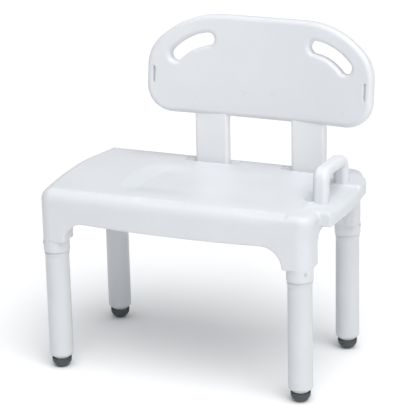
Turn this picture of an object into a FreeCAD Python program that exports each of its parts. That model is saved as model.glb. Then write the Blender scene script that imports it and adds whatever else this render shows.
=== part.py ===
"""Bath transfer bench: a blow-moulded seat on four telescoping legs, with a lift-off backrest and a side handle.

Millimetres. X runs along the bench, Y from the front to the backrest and Z up. The origin is on the floor, under
the middle of the bench's outer box.
"""

import FreeCAD, Part
import math
import os

import Sketcher

DIMENSIONS = {
    # legs
    "leg_middle_x": -16.5,
    "leg_spacing_x": 620,
    "leg_spacing_y": 340,
    "leg_radius": 29,
    "leg_wall": 3,
    "leg_top": 416,
    "leg_bottom": 29,
    "leg_edge_round": 8,
    "leg_floor": 4,
    "bead_height": 4,
    "bead_bottom": 293.5,
    "bead_proud": 1,
    "stub_radius": 19.5,
    "stub_bottom": 10,
    "hole_radius": 4.3,
    "hole_pitch": 12.7,
    "hole_count": 7,
    # leg sleeves and their locks
    "collar_radius": 31.75,
    "collar_bottom": 302,
    "sleeve_radius": 31,
    "sleeve_top": 419,
    "sleeve_gap": 0.3,
    "pin_height": 325,
    "pin_radius": 3,
    "pin_tip": 26.2,
    "pin_head_radius": 4.4,
    "pin_head_height": 2.6,
    "band_width": 8.4,
    "band_thickness": 0.8,
    # feet
    "foot_radius": 24,
    "foot_rim": 25,
    "foot_sole_radius": 9,
    "foot_sole_edge": 2,
    "foot_shoulder": 16,
    "foot_washer_radius": 17,
    "foot_washer_thickness": 2,
    # seat
    "seat_top": 460,
    "seat_left": -358.5,
    "seat_right": 325.5,
    "seat_flare": 6,
    "seat_front": 202,
    "seat_bow": 12,
    "slab_bottom": 415,
    "apron_bottom": 382,
    "apron_thickness": 38,
    "boss_bottom": 330,
    "boss_width": 66,
    "boss_inner_round": 12,
    "boss_shift": 0.95,
    "sleeve_screw_height": 352,
    "corner_round": 32,
    "arch_round": 52,
    "end_wall_bottom": 408,
    "end_wall_thickness": 26,
    "front_round": 30,
    "rear_round": 48,
    "end_round": 30,
    "shell_wall": 3.5,
    "shelf_bottom": 424,
    "shelf_reach": 359,
    "shelf_front": 140,
    "shelf_rear": 100,
    "shelf_bow": 6,
    "dish_depth": 4.5,
    # backrest
    "back_middle_x": 78.9,
    "back_half_width": 288.5,
    "back_bottom": 577,
    "back_shoulder": 731,
    "back_top": 822.8,
    "back_crown_half": 196,
    "back_thickness": 35,
    "back_curve": 2000,
    "back_lean": 8,
    "back_edge_round": 13,
    "back_wall": 3.5,
    "bend_height": 585,
    "post_spacing": 249.5,
    "post_width": 85,
    "post_thickness": 27,
    "post_front": 134,
    "post_bottom": 388,
    "post_top": 695,
    "post_edge_round": 7,
    "post_wall": 3,
    "socket_gap": 0.4,
    "socket_bottom": 401,
    "socket_lip": 4,
    "recess_width": 138,
    "recess_depth": 6,
    "panel_socket_gap": 0.2,
    "panel_socket_wall": 4,
    "button_radius": 4,
    "button_height": 396.5,
    "button_proud": 4.5,
    # side handle
    "handle_x": 308.5,
    "handle_thickness": 36,
    "handle_front": 83,
    "handle_rear": 95,
    "handle_top": 539,
    "handle_base": 454,
    "handle_edge_round": 12,
    # fasteners
    "screw_radius": 2.5,
    "screw_head_radius": 5,
    "screw_head_height": 2.8,
    "insert_radius": 4.5,
    "insert_length": 18,
    "bolt_radius": 3,
    "bolt_head_radius": 5.5,
    "bolt_head_height": 4,
    "washer_radius": 9,
    "washer_thickness": 1.5,
}

CORNERS = {
    # name: (side along X, side along Y, direction in which the lock pin points, in degrees from +X)
    "front_left": (-1, -1, 225),
    "front_right": (1, -1, 315),
    "rear_left": (-1, 1, 180),
    "rear_right": (1, 1, 0),
}
SIDES = {"left": -1, "right": 1}
# The ends of a hand slot's middle line: how far from the panel's middle and how far above the bend.
SLOT_ENDS = [(216, 134), (138, 181)]

document = FreeCAD.newDocument("bath_transfer_bench")
sheet = document.addObject("Spreadsheet::Sheet", "Dimensions")
for row, (alias, number) in enumerate(DIMENSIONS.items(), start=1):
    sheet.set(f"A{row}", alias)
    sheet.set(f"B{row}", str(number))
    sheet.setAlias(f"B{row}", alias)
document.recompute()

finished = []


class Size:
    """A length that knows its number and the expression that gives it from the sheet."""

    def __init__(self, number, text):
        self.number = float(number)
        self.text = text

    def __add__(self, other):
        other = as_size(other)
        return Size(self.number + other.number, f"({self.text} + {other.text})")

    def __sub__(self, other):
        other = as_size(other)
        return Size(self.number - other.number, f"({self.text} - {other.text})")

    def __mul__(self, other):
        other = as_size(other)
        return Size(self.number * other.number, f"({self.text} * {other.text})")

    def __truediv__(self, other):
        other = as_size(other)
        return Size(self.number / other.number, f"({self.text} / {other.text})")

    def __neg__(self):
        return self * -1

    def __radd__(self, other):
        return as_size(other) + self

    def __rsub__(self, other):
        return as_size(other) - self

    def __rmul__(self, other):
        return as_size(other) * self


def as_size(value):
    """A Size as it is, or a plain number as one."""
    return value if isinstance(value, Size) else Size(value, f"({value})")


def size(alias):
    """One driving dimension."""
    return Size(DIMENSIONS[alias], f"Dimensions.{alias}")


def lean(function):
    """The sine, cosine or tangent of the backrest's lean, or of half of it for half_tangent."""
    angle = math.radians(DIMENSIONS["back_lean"])
    if function == "half_tangent":
        return Size(math.tan(angle / 2), "tan(Dimensions.back_lean * 0.5 deg)")
    number = {"sine": math.sin(angle), "cosine": math.cos(angle)}[function]
    return Size(number, {"sine": "sin", "cosine": "cos"}[function] + "(Dimensions.back_lean * 1 deg)")


def bind(item, **properties):
    """Binds an object's properties to sizes. A double underscore in a name stands for a dot."""
    for name, value in properties.items():
        item.setExpression(name.replace("__", "."), as_size(value).text)


def put(item, x=0, y=0, z=0, turn=0):
    """Places an object: a turn about Z in degrees, then a position bound to sizes."""
    item.Placement = FreeCAD.Placement(FreeCAD.Vector(), FreeCAD.Rotation(FreeCAD.Vector(0, 0, 1), turn))
    bind(item, Placement__Base__x=x, Placement__Base__y=y, Placement__Base__z=z)
    return item


def box(name, low, high):
    """A Part::Box between two corners, each a triple of sizes."""
    item = document.addObject("Part::Box", name)
    bind(item, Length=high[0] - low[0], Width=high[1] - low[1], Height=high[2] - low[2])
    return put(item, *low)


def cylinder(name, radius, height, base, axis=(0, 0, 1)):
    """A Part::Cylinder from its base's centre along an axis."""
    item = document.addObject("Part::Cylinder", name)
    bind(item, Radius=radius, Height=height)
    turn = FreeCAD.Rotation(FreeCAD.Vector(0, 0, 1), FreeCAD.Vector(*axis))
    item.Placement = FreeCAD.Placement(FreeCAD.Vector(), turn)
    bind(item, Placement__Base__x=base[0], Placement__Base__y=base[1], Placement__Base__z=base[2])
    return item


def lean_back(item):
    """Leans an object that was built upright, about the line along X where the posts bend."""
    turn = FreeCAD.Rotation(FreeCAD.Vector(1, 0, 0), -DIMENSIONS["back_lean"])
    item.Placement = FreeCAD.Placement(FreeCAD.Vector(), turn)
    y, z = post_y(), size("bend_height")
    bind(
        item,
        Placement__Base__y=y - y * lean("cosine") - z * lean("sine"),
        Placement__Base__z=z + y * lean("sine") - z * lean("cosine"),
    )
    return item


def fuse(name, pieces):
    """Several shapes as one solid."""
    item = document.addObject("Part::MultiFuse", name)
    item.Shapes = pieces
    return item


def common(name, pieces):
    """What several shapes share."""
    item = document.addObject("Part::MultiCommon", name)
    item.Shapes = pieces
    return item


def cut(name, base, tools):
    """A shape less the tools."""
    item = document.addObject("Part::Cut", name)
    item.Base = base
    item.Tool = tools[0] if len(tools) == 1 else fuse(name + "_tools", tools)
    return item


def group(name, pieces):
    """Identical separate solids as one node."""
    item = document.addObject("Part::Compound", name)
    item.Links = pieces
    return item


def finish(item, name):
    """Marks an object as one of the bench's pieces."""
    item.Label = name
    finished.append(item)
    return item


def new_body(name):
    """A PartDesign body of its own."""
    return document.addObject("PartDesign::Body", name)


def plane_of(body, role):
    """One of a body's own origin planes or axes."""
    return next(feature for feature in body.Origin.OriginFeatures if feature.Role == role)


class Bend:
    """An arc to the next outline corner: its radius, and +1 if its centre lies to the left, -1 to the right."""

    def __init__(self, radius, side):
        self.radius = as_size(radius)
        self.side = side

    def curve(self, start, end):
        middle = (start + end) / 2
        half = (end - start) / 2
        reach = max(self.radius.number, half.Length * 1.0001)
        height = math.sqrt(reach**2 - half.Length**2)
        left = FreeCAD.Vector(-half.y, half.x, 0).normalize()
        centre = middle + left * height * self.side
        across = FreeCAD.Vector(0, 0, 1)
        begin = math.atan2(start.y - centre.y, start.x - centre.x)
        stop = math.atan2(end.y - centre.y, end.x - centre.x)
        if self.side < 0:
            begin, stop = stop, begin
        return Part.ArcOfCircle(Part.Circle(centre, across, reach), begin, stop)


def fix(sketch, geometry, point, place):
    """Dimensions one point of a sketch from the origin along both axes."""
    for number, (value, kind, axis) in enumerate(zip(place, ("DistanceX", "DistanceY"), (-2, -1))):
        if value.text == "(0)":
            sketch.addConstraint(Sketcher.Constraint("PointOnObject", geometry, point, axis))
            continue
        index = sketch.addConstraint(Sketcher.Constraint(kind, -1, 1, geometry, point, value.number))
        sketch.setExpression(f"Constraints[{index}]", value.text)


def outline(body, name, role, corners, height=None):
    """A closed sketch on one of a body's planes. corners lists (u, v), each with an optional Bend to the next."""
    sketch = body.newObject("Sketcher::SketchObject", name)
    sketch.AttachmentSupport = (plane_of(body, role), "")
    sketch.MapMode = "FlatFace"
    if height is not None:
        bind(sketch, AttachmentOffset__Base__z=height)
    places = [(as_size(corner[0]), as_size(corner[1])) for corner in corners]
    points = [FreeCAD.Vector(u.number, v.number, 0) for u, v in places]
    starts, ends = [], []
    for index, corner in enumerate(corners):
        begin, end = points[index], points[(index + 1) % len(points)]
        if len(corner) == 3:
            geometry = sketch.addGeometry(corner[2].curve(begin, end))
            first, last = (1, 2) if corner[2].side > 0 else (2, 1)
            radius = sketch.addConstraint(Sketcher.Constraint("Radius", geometry, corner[2].radius.number))
            sketch.setExpression(f"Constraints[{radius}]", corner[2].radius.text)
        else:
            geometry = sketch.addGeometry(Part.LineSegment(begin, end))
            first, last = 1, 2
        starts.append((geometry, first))
        ends.append((geometry, last))
    for index, place in enumerate(places):
        sketch.addConstraint(Sketcher.Constraint("Coincident", *ends[index - 1], *starts[index]))
        fix(sketch, *starts[index], place)
    return sketch


def rounded(low, high, radius):
    """The corners of a rounded rectangle between two points, for outline()."""
    (left, bottom), (right, top) = [[as_size(value) for value in corner] for corner in (low, high)]
    turn = Bend(radius, 1)
    return [
        (left + radius, bottom),
        (right - radius, bottom, turn),
        (right, bottom + radius),
        (right, top - radius, turn),
        (right - radius, top),
        (left + radius, top, turn),
        (left, top - radius),
        (left, bottom + radius, turn),
    ]


def softened(corners):
    """The corners of a polygon, each rounded by its radius, for outline(). corners lists (u, v, radius)."""
    places = [FreeCAD.Vector(as_size(u).number, as_size(v).number, 0) for u, v, radius in corners]
    result = []
    for index, (u, v, radius) in enumerate(corners):
        if not radius:
            result.append((u, v))
            continue
        back = (places[index - 1] - places[index]).normalize()
        ahead = (places[(index + 1) % len(places)] - places[index]).normalize()
        reach = radius / math.tan(back.getAngle(ahead) / 2)
        side = -1 if back.cross(ahead).z > 0 else 1
        result.append((u + back.x * reach, v + back.y * reach, Bend(radius, side)))
        result.append((u + ahead.x * reach, v + ahead.y * reach))
    return result


def circle(body, name, role, centre, radius, height=None):
    """A sketch of one circle on one of a body's planes."""
    sketch = body.newObject("Sketcher::SketchObject", name)
    sketch.AttachmentSupport = (plane_of(body, role), "")
    sketch.MapMode = "FlatFace"
    if height is not None:
        bind(sketch, AttachmentOffset__Base__z=height)
    centre = [as_size(value) for value in centre]
    radius = as_size(radius)
    place = FreeCAD.Vector(centre[0].number, centre[1].number, 0)
    geometry = sketch.addGeometry(Part.Circle(place, FreeCAD.Vector(0, 0, 1), radius.number))
    fix(sketch, geometry, 3, centre)
    index = sketch.addConstraint(Sketcher.Constraint("Radius", geometry, radius.number))
    sketch.setExpression(f"Constraints[{index}]", radius.text)
    return sketch


def pad(body, sketch, length, name="Pad", both_ways=False):
    """A pad of a sketch, from its plane or to both sides of it."""
    feature = body.newObject("PartDesign::Pad", f"{body.Name}_{name}")
    feature.Profile = sketch
    feature.SideType = "Symmetric" if both_ways else "One side"
    bind(feature, Length=length)
    return feature


def pocket(body, sketch, length, name, backwards=False):
    """A pocket of a sketch."""
    feature = body.newObject("PartDesign::Pocket", f"{body.Name}_{name}")
    feature.Profile = sketch
    feature.Reversed = backwards
    bind(feature, Length=length)
    return feature


def turned(name, corners):
    """A body turned about Z from an outline in the XZ plane."""
    body = new_body(name)
    sketch = outline(body, name + "_profile", "XZ_Plane", corners)
    feature = body.newObject("PartDesign::Revolution", name + "_turn")
    feature.Profile = sketch
    feature.ReferenceAxis = (plane_of(body, "Z_Axis"), [""])
    feature.Angle = 360
    return body


def prism(name, role, corners, length, height=None, both_ways=False):
    """A body padded from one outline."""
    body = new_body(name)
    pad(body, outline(body, name + "_outline", role, corners, height), length, both_ways=both_ways)
    return body


def leg_place(corner):
    """Where a corner's leg stands and how far its lock pin is turned from +X."""
    side_x, side_y, turn = CORNERS[corner]
    x = size("leg_middle_x") + size("leg_spacing_x") / 2 * side_x
    y = size("leg_spacing_y") / 2 * side_y
    return {"x": x, "y": y, "turn": turn}


def ring_corners(inner, outer, bottom, top):
    """The outline of a plain ring's section."""
    return [(inner, bottom), (outer, bottom), (outer, top), (inner, top)]


def leg_sleeve(corner):
    """The sleeve that guides a leg: a collar below the seat, and a thinner part up inside the corner."""
    bore = size("leg_radius") + size("sleeve_gap")
    groove_low = size("pin_height") - size("band_width") / 2 - 0.15
    groove_high = size("pin_height") + size("band_width") / 2 + 0.15
    groove = size("collar_radius") - size("band_thickness")
    body = turned(
        "sleeve_body_" + corner,
        [
            (bore, size("collar_bottom")),
            (size("collar_radius"), size("collar_bottom")),
            (size("collar_radius"), groove_low),
            (groove, groove_low),
            (groove, groove_high),
            (size("collar_radius"), groove_high),
            (size("collar_radius"), size("boss_bottom")),
            (size("sleeve_radius"), size("boss_bottom")),
            (size("sleeve_radius"), size("sleeve_top")),
            (bore, size("sleeve_top")),
        ],
    )
    hole = circle(body, "sleeve_hole_" + corner, "YZ_Plane", (0, size("pin_height")), size("pin_radius") + 0.4)
    pocket(body, hole, size("collar_radius") + 5, "Hole", backwards=True)
    put(body, **leg_place(corner))
    finish(cut("sleeve_cut_" + corner, body, [sleeve_screw_part(corner, "hole")]), "leg_sleeve_" + corner)


def sleeve_screw_part(corner, part):
    """The shank or head of the screw that holds a sleeve in its boss, or the hole for the screw."""
    side_y = CORNERS[corner][1]
    place = leg_place(corner)
    inward = (0, -side_y, 0)
    face = size("boss_width") / 2 + size("boss_shift")
    start = size("leg_radius") + size("sleeve_gap") + 0.3
    sizes = {
        "shank": (2, start, face - start),
        "head": (4, face, 2),
        "hole": (2, start, face - start + 6),
        "seat_hole": (2, start, face - start + 6),
    }
    radius, begin, length = sizes[part]
    base = (place["x"], place["y"] - begin * side_y, size("sleeve_screw_height"))
    return cylinder(f"sleeve_screw_{part}_{corner}", radius, length, base, axis=inward)


def sleeve_screws():
    """The four screws that hold the sleeves."""
    screws = [
        fuse("sleeve_screw_" + corner, [sleeve_screw_part(corner, "shank"), sleeve_screw_part(corner, "head")])
        for corner in CORNERS
    ]
    finish(group("sleeve_screw_group", screws), "sleeve_screws")


def leg_tube(corner):
    """A leg: a tube with a bead under the collar, a closed end with a stub for the foot, and lock holes."""
    outer = size("leg_radius")
    inner = outer - size("leg_wall")
    bead = size("bead_bottom")
    bead_top = bead + size("bead_height")
    bead_round = (size("bead_height") * size("bead_height") / 4 + size("bead_proud") * size("bead_proud")) / (
        size("bead_proud") * 2
    )
    floor = size("leg_bottom")
    edge = size("leg_edge_round")
    body = turned(
        "leg_body_" + corner,
        [
            (0, size("stub_bottom")),
            (size("stub_radius"), size("stub_bottom")),
            (size("stub_radius"), floor),
            (outer - edge, floor, Bend(edge, 1)),
            (outer, floor + edge),
            (outer, bead, Bend(bead_round, 1)),
            (outer, bead_top),
            (outer, size("leg_top")),
            (inner, size("leg_top")),
            (inner, floor + size("leg_floor")),
            (0, floor + size("leg_floor")),
        ],
    )
    hole = circle(body, "leg_hole_" + corner, "YZ_Plane", (0, size("pin_height")), size("hole_radius"))
    first = pocket(body, hole, outer + 5, "Hole", backwards=True)
    row = body.newObject("PartDesign::LinearPattern", "leg_hole_row_" + corner)
    row.Originals = [first]
    row.Direction = (plane_of(body, "Z_Axis"), [""])
    row.Mode = "Extent"
    bind(row, Length=size("hole_pitch") * (size("hole_count") - 1))
    row.Occurrences = DIMENSIONS["hole_count"]
    body.Tip = row
    put(body, **leg_place(corner))
    finish(body, "leg_tube_" + corner)


def leg_foot(corner):
    """A rubber cup pushed on the stub, with a steel washer under the stub."""
    rim = size("foot_rim")
    sole_edge = size("foot_sole_edge")
    bore = size("stub_radius")
    washer = size("stub_bottom") - size("foot_washer_thickness")
    rubber = turned(
        "foot_body_" + corner,
        [
            (0, 0),
            (size("foot_sole_radius"), 0, Bend(30, 1)),
            (size("foot_radius"), size("foot_shoulder")),
            (size("foot_radius"), rim - sole_edge, Bend(sole_edge, 1)),
            (size("foot_radius") - sole_edge, rim),
            (bore, rim),
            (bore, size("stub_bottom")),
            (size("foot_washer_radius"), size("stub_bottom")),
            (size("foot_washer_radius"), washer),
            (0, washer),
        ],
    )
    put(rubber, **leg_place(corner))
    finish(rubber, "leg_foot_" + corner)
    disc = turned(
        "foot_washer_body_" + corner,
        [
            (0, washer),
            (size("foot_washer_radius"), washer),
            (size("foot_washer_radius"), size("stub_bottom")),
            (0, size("stub_bottom")),
        ],
    )
    put(disc, **leg_place(corner))
    finish(disc, "leg_foot_washer_" + corner)


def lock_pin(corner):
    """A pin through the collar into the leg's hole, with a domed head outside. Its axis is the local X."""
    body = new_body("pin_body_" + corner)
    face = size("collar_radius") + 0.1
    head = size("pin_head_radius")
    dome = size("pin_head_height")
    height = size("pin_height")
    dome_radius = (head * head + dome * dome) / (dome * 2)
    sketch = outline(
        body,
        "pin_profile_" + corner,
        "XZ_Plane",
        [
            (size("pin_tip"), height),
            (face + dome, height, Bend(dome_radius, 1)),
            (face, height + head),
            (face, height + size("pin_radius")),
            (size("pin_tip"), height + size("pin_radius")),
        ],
    )
    feature = body.newObject("PartDesign::Revolution", "pin_turn_" + corner)
    feature.Profile = sketch
    along = Part.LineSegment(FreeCAD.Vector(0, height.number, 0), FreeCAD.Vector(20, height.number, 0))
    axis = sketch.addGeometry(along, True)
    sketch.addConstraint(Sketcher.Constraint("Horizontal", axis))
    sketch.addConstraint(Sketcher.Constraint("PointOnObject", axis, 1, 0))
    feature.ReferenceAxis = (sketch, ["Axis0"])
    feature.Angle = 360
    put(body, **leg_place(corner))
    finish(body, "leg_lock_pin_" + corner)


def lock_spring(corner):
    """A C-shaped spring band in the collar's groove. It bears on the pin's head and is open on the far side."""
    inner = size("collar_radius") - size("band_thickness") + 0.02
    low = size("pin_height") - size("band_width") / 2
    band = turned("band_body_" + corner, ring_corners(inner, size("collar_radius"), low, low + size("band_width")))
    hole = circle(band, "band_hole_" + corner, "YZ_Plane", (0, size("pin_height")), size("pin_radius") + 0.15)
    through = pocket(band, hole, size("collar_radius") + 5, "Hole", backwards=True)
    gap = outline(
        band,
        "band_gap_" + corner,
        "XY_Plane",
        [(-40, -14), (-10, -14), (-10, 14), (-40, 14)],
        low - 1,
    )
    opening = pocket(band, gap, size("band_width") + 2, "Gap", backwards=True)
    opening.BaseFeature = through
    put(band, **leg_place(corner))
    finish(band, "leg_lock_spring_" + corner)


def seat_plan():
    """The seat's outline from above, with a gentle bow at the left-hand end."""
    left, right = size("seat_left"), size("seat_right") + size("seat_flare")
    edge, turn = size("seat_front"), size("corner_round")
    half = edge - turn
    bow = size("seat_bow")
    bow_radius = (half * half + bow * bow) / (bow * 2)
    corner = Bend(turn, 1)
    return [
        (left + turn, -edge),
        (right - turn, -edge, corner),
        (right, -half),
        (right, half, corner),
        (right - turn, edge),
        (left + turn, edge, corner),
        (left, half, Bend(bow_radius, 1)),
        (left, -half, corner),
    ]


def seat_slab():
    """The seat's top: its plan cut to rounded edges along its front, its rear and its ends."""
    top, bottom = size("seat_top"), size("slab_bottom")
    edge, reach = size("seat_front"), 2 * size("seat_front")
    front, rear, end = size("front_round"), size("rear_round"), size("end_round")
    left = size("seat_left") - size("seat_bow")
    right = size("seat_right")
    rim = right + size("seat_flare")
    plan = prism("seat_plan", "XY_Plane", seat_plan(), top - bottom, height=bottom)
    side = prism(
        "seat_side",
        "YZ_Plane",
        [
            (-edge, size("boss_bottom")),
            (edge, size("boss_bottom")),
            (edge, top - rear, Bend(rear, 1)),
            (edge - rear, top),
            (-edge + front, top, Bend(front, 1)),
            (-edge, top - front),
        ],
        reach * 2,
        both_ways=True,
    )
    ends = prism(
        "seat_ends",
        "XZ_Plane",
        [
            (left, size("boss_bottom")),
            (right, size("boss_bottom")),
            (right, bottom),
            (rim, top - end / 3, Bend(end / 3, 1)),
            (rim - end / 3, top),
            (left + end, top, Bend(end, 1)),
            (left, top - end),
        ],
        reach * 2,
        both_ways=True,
    )
    return plan, side, ends


def seat_apron(side_y):
    """The long apron on one side, with an arch down to the boss at each end."""
    left, right = size("seat_left"), size("seat_right")
    low, high = size("apron_bottom"), size("seat_top")
    boss, arch, foot = size("boss_width"), size("arch_round"), size("boss_bottom")
    start = size("seat_front") - size("apron_thickness")
    name = "apron_front" if side_y < 0 else "apron_rear"
    return prism(
        name,
        "XZ_Plane",
        [
            (left + boss / 2, foot),
            (left + boss, foot, Bend(arch, -1)),
            (left + boss + arch, low),
            (right - boss - arch, low, Bend(arch, -1)),
            (right - boss, foot),
            (right - boss / 2, foot),
            (right - boss / 2, high),
            (left + boss / 2, high),
        ],
        size("apron_thickness"),
        height=start if side_y < 0 else -size("seat_front"),
    )


def seat_boss(corner):
    """The corner block that holds a leg's sleeve: round at the outer corner, squarer towards the middle."""
    side_x, side_y, _ = CORNERS[corner]
    half = size("boss_width") / 2
    big, small = size("corner_round"), size("boss_inner_round")
    radii = {(-1, -1): small, (1, -1): small, (1, 1): small, (-1, 1): small}
    radii[side_x, side_y] = big
    radii[side_x, -side_y] = big
    bottom_left, bottom_right, top_right, top_left = radii[-1, -1], radii[1, -1], radii[1, 1], radii[-1, 1]
    body = prism(
        "boss_" + corner,
        "XY_Plane",
        [
            (-half + bottom_left, -half),
            (half - bottom_right, -half, Bend(bottom_right, 1)),
            (half, -half + bottom_right),
            (half, half - top_right, Bend(top_right, 1)),
            (half - top_right, half),
            (-half + top_left, half, Bend(top_left, 1)),
            (-half, half - top_left),
            (-half, -half + bottom_left, Bend(bottom_left, 1)),
        ],
        size("seat_top") - size("boss_bottom"),
        height=size("boss_bottom"),
    )
    place = leg_place(corner)
    return put(body, x=place["x"] - size("boss_shift") * side_x, y=place["y"] - size("boss_shift") * side_y)


def seat_end(side_x):
    """The shallow wall across one end between two bosses, with an arch down to each."""
    low, high, foot = size("end_wall_bottom"), size("seat_top"), size("boss_bottom")
    reach = size("seat_front") - size("boss_width")
    start = size("seat_right") - size("end_wall_thickness") if side_x > 0 else size("seat_left")
    corners = [(-reach - 14, foot), (-reach, foot), (-reach + 10, low - 28, Bend(32, -1)), (-reach + 42, low)]
    corners += [(reach - 42, low, Bend(32, -1)), (reach - 10, low - 28), (reach, foot), (reach + 14, foot)]
    corners += [(reach + 14, high), (-reach - 14, high)]
    name = "end_wall_left" if side_x < 0 else "end_wall_right"
    return prism(name, "YZ_Plane", corners, size("end_wall_thickness"), height=start)


def seat_shelf():
    """The bowed shelf at the right-hand end that carries the handle, thinner than the seat."""
    reach, front, rear = size("shelf_reach"), size("shelf_front"), size("shelf_rear")
    half = (front + rear) / 2
    bow = size("shelf_bow")
    bow_radius = (half * half + bow * bow) / (bow * 2)
    inside = size("seat_right") - 30
    body = new_body("shelf")
    sketch = outline(
        body,
        "shelf_outline",
        "XY_Plane",
        [
            (inside, -front),
            (reach, -front, Bend(bow_radius, 1)),
            (reach, rear, Bend(70, 1)),
            (inside, rear + 70),
        ],
        size("shelf_bottom"),
    )
    slab = pad(body, sketch, size("seat_top") - size("shelf_bottom"))
    document.recompute()
    top = size("seat_top").number
    wanted = []
    for index, edge in enumerate(slab.Shape.Edges, start=1):
        heights = [vertex.Point.z for vertex in edge.Vertexes]
        away = edge.CenterOfMass.x > inside.number + 1
        along = edge.CenterOfMass.y > 1 - front.number
        if min(heights) > top - 0.01 and away and along:
            wanted.append(f"Edge{index}")
    rounding = body.newObject("PartDesign::Fillet", "shelf_edge")
    rounding.Base = (slab, wanted)
    rounding.Radius = 11
    return body


def seat_cavities():
    """The hollow inside the blow-moulded seat, as bays between the webs that stiffen it."""
    wall = size("shell_wall")
    low = size("slab_bottom") + wall
    high = size("seat_top") - size("dish_depth") - wall - 0.5
    apron_low = size("apron_bottom") + wall
    shelf_low = size("shelf_bottom") + wall
    middle = size("leg_middle_x")
    bays = [
        ("left_bay", (-335.5, -131, low), (-177.5, 131, high)),
        ("left_front_bay", (-271.5, -164, low), (-177.5, -127, high)),
        ("left_rear_bay", (-271.5, 127, low), (-101.5, 164, high)),
        ("middle_left_bay", (-173.5, -164, low), (-19.5, 121, high)),
        ("middle_bay", (-15.5, -164, low), (134.5, 121, high)),
        ("middle_right_bay", (138.5, -164, low), (271.5, 121, high)),
        ("right_bay", (275.5, -131, low), (302.5, 121, high)),
        ("rear_middle_bay", (26.5, 125, low), (164.5, 164, 448)),
        ("front_cavity", (-220.5, -198, apron_low), (220.5, -168, 436)),
        ("front_upper_cavity", (-267.5, -187, low), (270.5, -168, 443)),
        ("rear_cavity", (-220.5, 172, apron_low), (220.5, 197, 420)),
        ("rear_upper_cavity", (-267.5, 172, low), (270.5, 187, 436)),
        ("shelf_outer_cavity", (347.5, -134, shelf_low), (367.5, 96, 448)),
        ("shelf_middle_cavity", (306.5, -38, low), (343.5, 60, 451)),
    ]
    for corner in CORNERS:
        side_x, side_y, _ = CORNERS[corner]
        place = leg_place(corner)
        near, far = place["y"] - 20 * side_y, place["y"] + 12 * side_y
        front, rear = (far, near) if side_y < 0 else (near, far)
        along = size("leg_spacing_x") / 2 * side_x
        corner_low = (along - 20, front, size("sleeve_top") + 4)
        bays.append(("corner_cavity_" + corner, corner_low, (along + 20, rear, 443)))
    return [
        box(name, (middle + start, *low_rest), (middle + end, *high_rest))
        for name, (start, *low_rest), (end, *high_rest) in bays
    ]


def post_x(side):
    """The middle of one back post along X."""
    return size("back_middle_x") + size("post_spacing") / 2 * SIDES[side]


def post_y():
    """The middle of the back posts along Y."""
    return size("post_front") + size("post_thickness") / 2


def seat_socket(side):
    """The block under the slab that lengthens a back post's socket."""
    gap = size("socket_gap") + 8
    half = size("post_width") / 2 + gap
    x, y = post_x(side), post_y()
    return box(
        "socket_block_" + side,
        (x - half, y - size("post_thickness") / 2 - gap, size("socket_bottom")),
        (x + half, y + size("post_thickness") / 2 + gap, size("slab_bottom") + 5),
    )


def seat_socket_cuts(side):
    """What a back post's socket takes out: a recess, the slot for the post and a groove for its button."""
    gap = size("socket_gap")
    x, y = post_x(side), post_y()
    half, depth = size("post_width") / 2 + gap, size("post_thickness") / 2 + gap
    top, wide = size("seat_top"), size("recess_width") / 2
    recess = prism(
        "rear_recess_" + side,
        "XY_Plane",
        rounded((x - wide, y - depth - 8), (x + wide, y + depth + 5), 10),
        30,
        height=top - size("recess_depth"),
    )
    slot = prism(
        "post_slot_" + side,
        "XY_Plane",
        rounded((x - half, y - depth), (x + half, y + depth), size("post_edge_round") + gap),
        100,
        height=size("post_bottom"),
    )
    groove_half = size("button_radius") + 1
    groove_front = y - depth - size("button_proud") - 0.2
    groove = box(
        "button_groove_" + side,
        (x - groove_half, groove_front, size("socket_bottom") + size("socket_lip")),
        (x + groove_half, y, top + 5),
    )
    return [recess, slot, groove]


def front_recess(side):
    """A shallow hollow in the seat's front edge, opposite a back post. Its floor falls towards the front."""
    top = size("seat_top")
    corners = [(-206, top - 9), (-168, top - 3), (-166, top), (-166, top + 8), (-206, top + 8)]
    return prism("front_recess_" + side, "YZ_Plane", corners, 132, height=post_x(side) - 66)


def seat_hollows():
    """The dished sitting area with a sloped left edge, the sunk shelf top and the dent beside the handle."""
    top = size("seat_top")
    depth = size("dish_depth")
    middle = size("leg_middle_x")
    dish_corners = rounded((middle - 133.5, -150), (middle + 292.5, 110), 30)
    dish = prism("dish", "XY_Plane", dish_corners, 30, height=top - depth)
    ramp = prism(
        "dish_ramp",
        "XZ_Plane",
        [
            (middle - 174.5, top),
            (middle - 127.5, top - depth),
            (middle - 127.5, top + 8),
            (middle - 174.5, top + 8),
        ],
        170,
        height=-74,
    )
    crescent = prism(
        "dish_crescent",
        "XY_Plane",
        [(middle - 171.5, -90), (middle - 117.5, -94), (middle - 123.5, 74), (middle - 173.5, -14)],
        40,
        height=top - 10,
    )
    sunk = prism(
        "shelf_hollow",
        "XY_Plane",
        [
            (middle + 322.5, -125),
            (middle + 402.5, -125),
            (middle + 402.5, 70),
            (middle + 354.5, 70),
            (middle + 322.5, 56),
        ],
        30,
        height=top - 5,
    )
    dent = document.addObject("Part::Cone", "thumb_dent")
    bind(dent, Radius1=4, Radius2=24, Height=10)
    put(dent, middle + 303.5, -57, top - 8)
    return [dish, common("dish_slope", [ramp, crescent]), sunk, dent]


def handle_bolt_y():
    """Where the two handle bolts stand along Y."""
    return {"front": 18 - size("handle_front"), "rear": size("handle_rear") - 15}


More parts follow.
